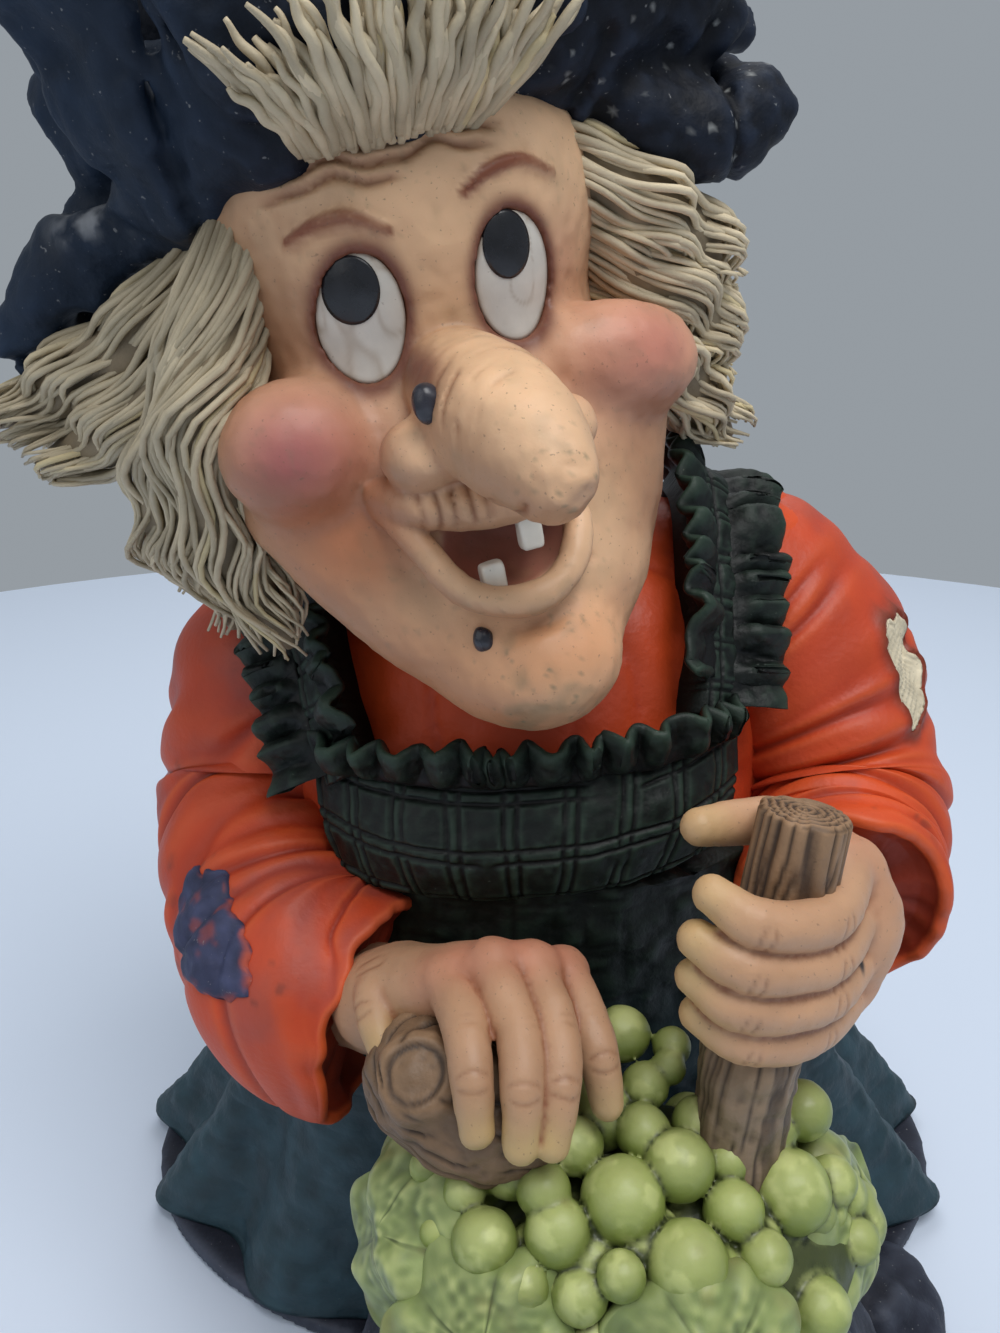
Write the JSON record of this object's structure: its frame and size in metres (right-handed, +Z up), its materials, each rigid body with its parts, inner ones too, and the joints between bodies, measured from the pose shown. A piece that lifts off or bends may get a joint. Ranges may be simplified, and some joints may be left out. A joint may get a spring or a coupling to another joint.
{
  "type": "witch figurine",
  "caption": "Painted resin witch figurine in a torn hat, leaning on a knot of wood and a stake above a heap of grapes; stands on a flat base as an ornament.",
  "frame": {"origin": "middle of the flat underside of the base", "axes": "+Z up, -Y the way the figure faces, +X to the viewer's right when seen from the front"},
  "size_m": [0.1989, 0.1863, 0.2958],
  "materials": {
    "navy_paint": "navy paint on cast resin, matt and worn",
    "green_paint": "dark green paint on cast resin with darker washed hollows",
    "orange_paint": "orange paint on cast resin with redder folds",
    "lining_paint": "cream paint on cast resin, rough",
    "skin_paint": "peach paint on cast resin with rosy cheeks",
    "eye_paint": "white paint, glossy",
    "black_paint": "black paint, glossy",
    "hair_paint": "grey-cream paint on moulded string",
    "bark_paint": "brown paint on cast resin with dark grain",
    "grape_paint": "pale yellow-green paint on cast resin"
  },
  "bodies": {
    "root": {"base": "navy_paint", "elbow_patch": "navy_paint", "hat_brim": "navy_paint", "hat_crown": "navy_paint", "skirt": "green_paint", "bib": "green_paint", "strap_left": "green_paint", "strap_right": "green_paint", "frill_left_outer": "green_paint", "frill_left_inner": "green_paint", "frill_right_outer": "green_paint", "frill_right_inner": "green_paint", "frill_bib": "green_paint", "torso": "orange_paint", "sleeve_left": "orange_paint", "sleeve_right": "orange_paint", "shoulder_lining": "lining_paint", "hand_left": "skin_paint", "hand_right": "skin_paint", "head": "skin_paint", "eye_left": "eye_paint", "eye_right": "eye_paint", "tooth_upper": "eye_paint", "tooth_lower": "eye_paint", "pupil_left": "black_paint", "pupil_right": "black_paint", "wart_nose": "black_paint", "wart_chin": "black_paint", "hair_fringe": "hair_paint", "hair_left": "hair_paint", "hair_right": "hair_paint", "hair_back": "hair_paint", "stake": "bark_paint", "wood_knot": "bark_paint", "grapes": "grape_paint", "leaf_left": "grape_paint", "leaf_front_left": "grape_paint", "leaf_front": "grape_paint", "leaf_right": "grape_paint"}
  },
  "joints": []
}
